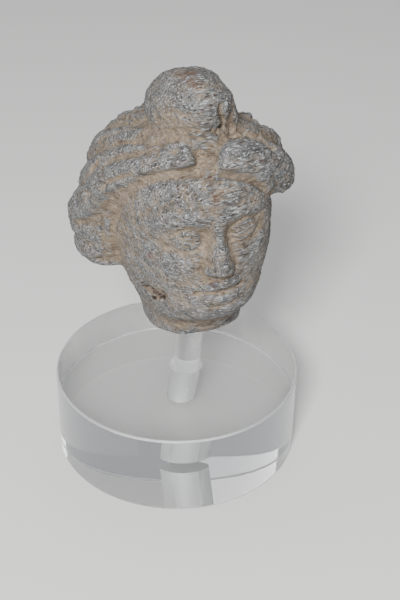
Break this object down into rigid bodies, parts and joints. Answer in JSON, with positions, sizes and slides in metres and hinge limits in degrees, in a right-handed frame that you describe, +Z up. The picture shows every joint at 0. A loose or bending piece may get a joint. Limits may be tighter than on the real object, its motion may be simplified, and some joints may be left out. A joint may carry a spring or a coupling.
{
  "type": "schist head sculpture",
  "caption": "Small carved grey schist head with swept wavy hair and a topknot, broken off at the neck, held up on a clear acrylic rod set in a thick clear acrylic disc.",
  "frame": {"origin": "centre of the disc's underside", "axes": "+Z up, the face looks along -Y, the head's right side is at -X"},
  "size_m": [0.057, 0.057, 0.0958],
  "materials": {
    "schist": "matt grey mica schist, weathered, with tan soil in the hollows",
    "clear_acrylic": "clear polished acrylic"
  },
  "bodies": {
    "root": {"schist_head": "schist", "mount_rod": "clear_acrylic", "disc_base": "clear_acrylic"}
  },
  "joints": []
}
